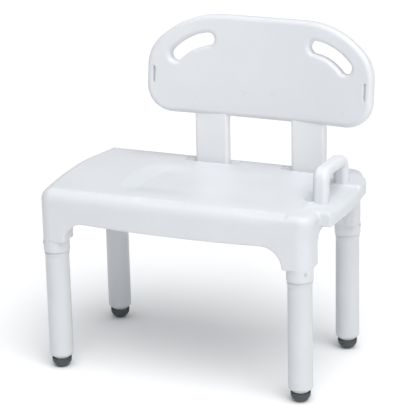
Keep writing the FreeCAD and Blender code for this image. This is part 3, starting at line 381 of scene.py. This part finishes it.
def seat(x, y, z):
    """The blow-moulded seat."""
    top = z - SEAT_TOP + dish(x, y) + shelf_hollow(x, y)
    flare = SEAT_FLARE * step(z, 398, 452) * step(x, 230, 322)
    body = round_meet(seat_plan(x - flare, y), top, seat_rim(x, y))
    body = round_meet(body, under_side(x, y, z), 5)
    body = round_meet(body, BLOCK_BOTTOM - z, 4)
    shelf = round_meet(outline_distance(x, y, SHELF_OUTLINE), top, 11)
    body = round_join(body, round_meet(shelf, SHELF_BOTTOM - z, 4), 4)
    for post_x in POST_X.values():
        block = rounded_rectangle(x, y, (post_x, POST_Y), (50.5, 21.5), 8)
        body = round_join(body, np.maximum(block, between(z, SOCKET_BOTTOM, 432)), 5)
        recess = rounded_rectangle(x, y, (post_x, 146), (69, 20.4), 10)
        body = round_cut(body, np.maximum(recess, SEAT_TOP - 6 - z), 2.5)
        slot = rounded_rectangle(x, y, (post_x, POST_Y), (POST_HALF[0] + 0.6, POST_HALF[1] + 0.6), 7)
        body = round_cut(body, slot + 0 * z, 2.5)
        facet = rounded_rectangle(x, y, (post_x, -190), (64, 13), 8)
        floor = SEAT_TOP - 6.5 + (y + 190) * 0.3 + 2.5 * (np.abs(x - post_x) / 64) ** 4
        body = round_cut(body, np.maximum(facet, floor - z), 4)
    dent = np.sqrt((x - 287) ** 2 + (y + 57) ** 2 + (z - 478) ** 2) - 27
    return round_cut(body, dent, 3)


def upright(y, z):
    """The depth and height that a place would have if the backrest did not lean back."""
    depth, height = y - POST_Y, z - BEND_Z
    return (
        POST_Y + depth * math.cos(LEAN) - height * math.sin(LEAN),
        BEND_Z + depth * math.sin(LEAN) + height * math.cos(LEAN),
    )


def back_panel(x, y, z):
    """The leaning, gently curved backrest, with a rolled edge, two hand slots and two strap slots."""
    across = x - BACK_MIDDLE
    y, z = upright(y, z)
    edge = outline_distance(across + 0 * z, z + 0 * across, BACK_OUTLINE)
    depth = np.hypot(across, y - POST_Y + BACK_CURVE - BACK_SAG) - BACK_CURVE
    body = round_meet(edge, np.abs(depth) - BACK_DEPTH, 13)
    slot_path = arc_points(*HAND_SLOT_ENDS, 8)
    slot = path_distance(np.abs(across), z, slot_path) - 15.5
    body = round_cut(body, slot, 11)
    strap = rounded_rectangle(np.abs(across), z, STRAP_SLOT, (2, 21), 2)
    return round_cut(body, np.maximum(strap, depth + BACK_DEPTH - 7), 1.5)


def back_post(x, y, z):
    """One flat post about X 0, bent where the backrest begins to lean."""
    leaning, height = upright(y, z)
    depth = np.where(z < BEND_Z, y, leaning)
    flat = rounded_rectangle(x, depth, (0, POST_Y), POST_HALF, 7)
    return round_meet(flat, np.maximum(POST_BOTTOM - z, height - POST_TOP), 3)


def side_handle(x, y, z):
    """The handle: an inverted U with rounded edges."""
    side = outline_distance(y + 0 * z, z + 0 * y, HANDLE_OUTLINE)
    return round_meet(side, between(x, HANDLE_X - HANDLE_HALF, HANDLE_X + HANDLE_HALF), 12.5)


def leg_tube(x, y, z):
    """One leg about the origin, with its lock holes along +X."""
    radius = np.hypot(x, y)
    tube = round_meet(radius - LEG_RADIUS, np.maximum(z - LEG_TOP, LEG_BOTTOM - z), 8.5)
    bead = np.hypot(radius - 28.4, z - 295.5) - 2.1
    tube = round_join(tube, bead, 1.2)
    tube = round_join(tube, np.maximum(radius - STUB_RADIUS, between(z, STUB_BOTTOM, 60)), 1.5)
    tube = np.maximum(tube, -np.maximum(radius - 26, 33 - z))
    number = np.clip(np.round((z - PIN_HEIGHT) / HOLE_PITCH), 0, HOLE_COUNT - 1)
    row = z - PIN_HEIGHT - HOLE_PITCH * number
    hole = np.maximum(np.hypot(y, row) - HOLE_RADIUS, 10 - x)
    return round_cut(tube, hole, 0.8)


def leg_foot(x, y, z):
    """One rubber foot about the origin: a deep bowl with a small flat sole."""
    radius = np.hypot(x, y)
    bowl = np.where(z < 20, np.hypot(radius, z - 23.5) - 25, radius - 24.7)
    cup = round_meet(round_meet(radius - FOOT_RADIUS, z - FOOT_RIM, 3), bowl, 2)
    return round_meet(cup, -z, 1)


def leg_sleeve(x, y, z):
    """One leg's sleeve about the origin, with a grooved collar below the seat."""
    radius = np.hypot(x, y)
    collar = round_meet(radius - COLLAR_RADIUS, between(z, COLLAR_BOTTOM, 333), 1.5)
    groove = np.maximum(31.2 - radius, between(z, 320.6, 329.4))
    collar = np.maximum(collar, -groove)
    upper = np.maximum(radius - SLEEVE_RADIUS, between(z, 327, SLEEVE_TOP))
    body = np.maximum(np.minimum(collar, upper), 29.3 - radius)
    hole = np.maximum(np.hypot(y, z - PIN_HEIGHT) - 3.4, -x)
    return np.maximum(body, -hole)


# materials -----------------------------------------------------------------------------------------


def new_material(name):
    """An empty material: (material, its node tree's add function, its link function, its Principled node)."""
    material = bpy.data.materials.new(name)
    material.use_nodes = True
    tree = material.node_tree
    principled = next(node for node in tree.nodes if node.type == "BSDF_PRINCIPLED")
    return material, tree.nodes.new, tree.links.new, principled


def noise(add, link, place, scale, detail=2.0, rough=0.5, stretch=None):
    """A noise pattern at a scale per metre, over the object's own coordinates."""
    node = add("ShaderNodeTexNoise")
    node.inputs["Scale"].default_value = scale
    node.inputs["Detail"].default_value = detail
    node.inputs["Roughness"].default_value = rough
    if stretch is None:
        link(place.outputs["Object"], node.inputs["Vector"])
    else:
        mapping = add("ShaderNodeMapping")
        mapping.inputs["Scale"].default_value = stretch
        link(place.outputs["Object"], mapping.inputs["Vector"])
        link(mapping.outputs["Vector"], node.inputs["Vector"])
    return node.outputs["Fac"]


def spread(add, link, source, low, high, start=0.3, end=0.7):
    """Maps a pattern between start and end to values between low and high."""
    node = add("ShaderNodeMapRange")
    node.inputs["From Min"].default_value = start
    node.inputs["From Max"].default_value = end
    node.inputs["To Min"].default_value = low
    node.inputs["To Max"].default_value = high
    link(source, node.inputs["Value"])
    return node.outputs["Result"]


def blend_colours(add, link, factor, first, second):
    """A colour between two colours."""
    node = add("ShaderNodeMix")
    node.data_type = "RGBA"
    link(factor, node.inputs["Factor"])
    for socket, colour in ((node.inputs["A"], first), (node.inputs["B"], second)):
        if isinstance(colour, tuple):
            socket.default_value = (*colour, 1)
        else:
            link(colour, socket)
    return node.outputs["Result"]


def moulded_plastic(name, light, dark, scuff, grain=0.00008, gloss=(0.38, 0.52)):
    """Blow-moulded polyethylene: fine satin grain, slow unevenness, faint mottling and a few scuffs."""
    material, add, link, principled = new_material(name)
    place = add("ShaderNodeTexCoord")
    slow = noise(add, link, place, 9, 3)
    mottle = noise(add, link, place, 85, 4, 0.6)
    fine = noise(add, link, place, 1500, 2)
    rubbed = noise(add, link, place, 26, 6, 0.7, stretch=(1, 2.4, 1.6))
    scuffs = spread(add, link, rubbed, 0, 1, 0.62, 0.78)
    base = blend_colours(add, link, spread(add, link, slow, 0, 1), light, dark)
    base = blend_colours(add, link, spread(add, link, mottle, 0, 0.35), base, dark)
    base = blend_colours(add, link, scuffs, base, scuff)
    link(base, principled.inputs["Base Color"])
    rough = add("ShaderNodeMath")
    rough.operation = "ADD"
    link(spread(add, link, mottle, gloss[0], gloss[1]), rough.inputs[0])
    link(spread(add, link, scuffs, 0, 0.12, 0, 1), rough.inputs[1])
    link(rough.outputs[0], principled.inputs["Roughness"])
    principled.inputs["IOR"].default_value = 1.5
    wide = add("ShaderNodeBump")
    wide.inputs["Strength"].default_value = 0.35
    wide.inputs["Distance"].default_value = 0.0009
    link(slow, wide.inputs["Height"])
    close = add("ShaderNodeBump")
    close.inputs["Strength"].default_value = 0.5
    close.inputs["Distance"].default_value = grain
    link(fine, close.inputs["Height"])
    link(wide.outputs["Normal"], close.inputs["Normal"])
    link(close.outputs["Normal"], principled.inputs["Normal"])
    return material


def rubber(name):
    """Dark grey moulded rubber with a dusty, worn sole."""
    material, add, link, principled = new_material(name)
    place = add("ShaderNodeTexCoord")
    cloud = noise(add, link, place, 60, 5, 0.65)
    fine = noise(add, link, place, 1800, 2)
    split = add("ShaderNodeSeparateXYZ")
    link(place.outputs["Object"], split.inputs["Vector"])
    near_floor = spread(add, link, split.outputs["Z"], 0.6, 0, 0.0, 0.012)
    dark, light, dust = (0.052, 0.058, 0.061), (0.08, 0.087, 0.09), (0.13, 0.134, 0.13)
    base = blend_colours(add, link, spread(add, link, cloud, 0, 1), dark, light)
    base = blend_colours(add, link, near_floor, base, dust)
    link(base, principled.inputs["Base Color"])
    link(spread(add, link, cloud, 0.55, 0.75), principled.inputs["Roughness"])
    bump = add("ShaderNodeBump")
    bump.inputs["Strength"].default_value = 0.6
    bump.inputs["Distance"].default_value = 0.00015
    link(fine, bump.inputs["Height"])
    link(bump.outputs["Normal"], principled.inputs["Normal"])
    return material


def metal(name, light, dark):
    """Plated or plain metal with fine brushing and dull patches."""
    material, add, link, principled = new_material(name)
    place = add("ShaderNodeTexCoord")
    patches = noise(add, link, place, 180, 4, 0.6)
    lines = noise(add, link, place, 900, 2, 0.5, stretch=(1, 1, 12))
    base = blend_colours(add, link, spread(add, link, patches, 0, 1), light, dark)
    link(base, principled.inputs["Base Color"])
    principled.inputs["Metallic"].default_value = 1
    link(spread(add, link, patches, 0.25, 0.45), principled.inputs["Roughness"])
    bump = add("ShaderNodeBump")
    bump.inputs["Strength"].default_value = 0.3
    bump.inputs["Distance"].default_value = 0.00005
    link(lines, bump.inputs["Height"])
    link(bump.outputs["Normal"], principled.inputs["Normal"])
    return material


WHITE = (0.70, 0.715, 0.74)
SHADE = (0.67, 0.69, 0.715)
SCUFF = (0.64, 0.655, 0.675)
FINE_GRAIN = 0.00004
seat_plastic = moulded_plastic("seat plastic", WHITE, SHADE, SCUFF)
# Painted light: the backrest's plastic is a lighter tone than the seat's, to brighten the panel as more light
# on it would.
back_plastic_painted_lighter = moulded_plastic("backrest plastic, painted lighter", (0.74, 0.755, 0.78), (0.715, 0.73, 0.755), SCUFF)
# Painted light: the posts are a much lighter tone than the panel, to lift the shade the backrest casts on
# them.
post_plastic_painted_lighter = moulded_plastic(
    "post plastic, painted lighter", (0.86, 0.865, 0.88), (0.83, 0.84, 0.855), (0.80, 0.805, 0.82)
)
handle_plastic = moulded_plastic(
    "handle plastic", (0.76, 0.775, 0.795), (0.73, 0.745, 0.765), SCUFF
)
# Painted shade: the legs are a darker tone than the seat, to darken them as less light under the seat would.
leg_plastic_painted_darker = moulded_plastic(
    "leg plastic, painted darker", (0.66, 0.68, 0.70), (0.63, 0.65, 0.67), SCUFF, FINE_GRAIN, (0.32, 0.45)
)
sleeve_plastic = moulded_plastic(
    "sleeve plastic", (0.69, 0.705, 0.72), (0.66, 0.68, 0.70), SCUFF, FINE_GRAIN, (0.3, 0.42)
)
button_plastic = moulded_plastic(
    "button plastic", (0.6, 0.61, 0.62), (0.56, 0.57, 0.58), SCUFF, 0.00003, (0.2, 0.3)
)
foot_rubber = rubber("foot rubber")
steel = metal("zinc plated steel", (0.62, 0.63, 0.65), (0.5, 0.51, 0.53))
spring_steel = metal("spring steel", (0.5, 0.52, 0.54), (0.4, 0.41, 0.43))
brass = metal("brass", (0.72, 0.55, 0.27), (0.6, 0.44, 0.2))

# pieces --------------------------------------------------------------------------------------------


def make_piece(node, body, mesh, material, matrix=None):
    """A piece that stands for one CAD node and rides on its body."""
    item = add_object(node + "_form", mesh, material, matrix)
    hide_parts(node)
    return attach(item, body)


seat_mesh = draw_surface("seat", seat, (-374, -204, 328), (370, 204, 462), 3.2)
make_piece("seat_shell", "seat", seat_mesh, seat_plastic)
back_mesh = draw_surface("back_panel", back_panel, (-213, 113, 573), (371, 203, 826), 2.6)
make_piece("back_panel", "backrest", back_mesh, back_plastic_painted_lighter)
handle_mesh = draw_surface("side_handle", side_handle, (288, -86, 445), (329, 98, 542), 1.7)
make_piece("side_handle", "seat", handle_mesh, handle_plastic)
post_mesh = draw_surface("back_post", back_post, (-44, 132, 386), (44, 179, 698), 2.2)
for side, post_x in POST_X.items():
    place = Matrix.Translation(Vector((post_x, 0, 0)) * MM)
    make_piece("back_post_" + side, "backrest", post_mesh, post_plastic_painted_lighter, place)
leg_mesh = draw_surface("leg_tube", leg_tube, (-30.5, -30.5, 8), (30.5, 30.5, 418), 1.9)
foot_mesh = draw_surface("leg_foot", leg_foot, (-26, -26, -1), (26, 26, 27), 1.2)
sleeve_mesh = draw_surface("leg_sleeve", leg_sleeve, (-33, -33, 300), (33, 33, 421), 1.5)
for corner in CORNERS:
    place = leg_place(corner)
    leg, sleeve = turned_mesh(leg_mesh, corner), turned_mesh(sleeve_mesh, corner)
    make_piece("leg_tube_" + corner, "leg_" + corner, leg, leg_plastic_painted_darker, place)
    make_piece("leg_foot_" + corner, "leg_" + corner, foot_mesh, foot_rubber, place)
    make_piece("leg_sleeve_" + corner, "seat", sleeve, sleeve_plastic, place)

KEPT = {
    "leg_lock_pin": button_plastic,
    "back_button_spring": spring_steel,
    "leg_lock_spring": sleeve_plastic,
    "back_button": button_plastic,
    "leg_foot_washer": steel,
    "handle_bolts": steel,
    "handle_washers": steel,
    "sleeve_screws": steel,
    "back_screws": steel,
    "back_inserts": brass,
    "handle_inserts": brass,
}
for node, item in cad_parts.items():
    start = next((start for start in KEPT if node.startswith(start)), None)
    if start is None:
        continue
    item.data.materials.clear()
    item.data.materials.append(KEPT[start])
    item.data.shade_smooth()
    item.data.set_sharp_from_angle(angle=math.radians(35))

# floor, light and camera ---------------------------------------------------------------------------


def plain_material(name, colour, rough):
    """A plain floor material."""
    material, add, link, principled = new_material(name)
    principled.inputs["Base Color"].default_value = (*colour, 1)
    principled.inputs["Roughness"].default_value = rough
    return material


def add_floor():
    """A plain pale floor that reaches past the view."""
    mesh = bpy.data.meshes.new("floor")
    reach = 60
    corners = [(-reach, -reach, 0), (reach, -reach, 0), (reach, reach, 0), (-reach, reach, 0)]
    mesh.from_pydata(corners, [], [(0, 1, 2, 3)])
    floor = add_object("floor", mesh, plain_material("floor", (0.93, 0.93, 0.93), 0.9))


def add_light(name, place, target, power, width, height):
    """A soft rectangular light that faces a point."""
    light = bpy.data.lights.new(name, "AREA")
    light.shape = "RECTANGLE"
    light.size, light.size_y = width, height
    light.energy = power
    item = bpy.data.objects.new(name, light)
    bpy.context.scene.collection.objects.link(item)
    item.location = place
    item.rotation_mode = "QUATERNION"
    item.rotation_quaternion = (Vector(target) - Vector(place)).to_track_quat("-Z", "Y")
    return item


def add_sun(name, place, power, spread_angle):
    """A far soft light that shines from a place towards the origin."""
    light = bpy.data.lights.new(name, "SUN")
    light.energy = power
    light.angle = math.radians(spread_angle)
    item = bpy.data.objects.new(name, light)
    bpy.context.scene.collection.objects.link(item)
    item.rotation_mode = "QUATERNION"
    item.rotation_quaternion = (-Vector(place)).to_track_quat("-Z", "Y")
    return item


def add_world(low, high):
    """A nearly white surrounding that grows brighter overhead."""
    world = bpy.data.worlds.new("studio")
    world.use_nodes = True
    nodes, links = world.node_tree.nodes, world.node_tree.links
    background = next(node for node in nodes if node.type == "BACKGROUND")
    background.inputs["Color"].default_value = (0.96, 0.98, 1.0, 1)
    place = nodes.new("ShaderNodeTexCoord")
    split = nodes.new("ShaderNodeSeparateXYZ")
    links.new(place.outputs["Generated"], split.inputs["Vector"])
    square = nodes.new("ShaderNodeMath")
    square.operation = "MULTIPLY"
    links.new(split.outputs["Z"], square.inputs[0])
    links.new(split.outputs["Z"], square.inputs[1])
    scale = nodes.new("ShaderNodeMath")
    scale.operation = "MULTIPLY_ADD"
    links.new(square.outputs["Value"], scale.inputs[0])
    scale.inputs[1].default_value = high - low
    scale.inputs[2].default_value = low
    links.new(scale.outputs["Value"], background.inputs["Strength"])
    bpy.context.scene.world = world


def add_camera():
    """A long lens a little above the seat, turned to the bench's left-hand side."""
    azimuth, elevation, roll = math.radians(22.79), math.radians(18.951), math.radians(-1.3057)
    distance, focal = 4.9153, 177.04
    target = Vector((-0.0021, 0, 0.3869))
    back = Vector(
        (
            math.sin(azimuth) * math.cos(elevation),
            -math.cos(azimuth) * math.cos(elevation),
            math.sin(elevation),
        )
    )
    right = Vector((math.cos(azimuth), math.sin(azimuth), 0))
    up = back.cross(right)
    camera_right = right * math.cos(roll) + up * math.sin(roll)
    camera_up = up * math.cos(roll) - right * math.sin(roll)
    data = bpy.data.cameras.new("camera")
    data.lens = focal
    data.sensor_width = 36
    data.clip_end = 100
    camera = bpy.data.objects.new("camera", data)
    bpy.context.scene.collection.objects.link(camera)
    matrix = Matrix((camera_right, camera_up, back)).transposed().to_4x4()
    matrix.translation = target + back * distance
    camera.matrix_world = matrix
    bpy.context.scene.camera = camera


add_floor()
add_world(0.02, 1.25)
add_sun("key", (1.0, -1.0, 2.45), 2.0, 50)
add_light("side", (3.4, -2.2, 1.4), (0, 0, 0.35), 8, 1.6, 1.6)
add_light("front", (2.0, -3.6, 1.3), (0.1, 0, 0.6), 13, 1.8, 1.2)
add_camera()
bpy.context.scene.view_settings.view_transform = "Standard"
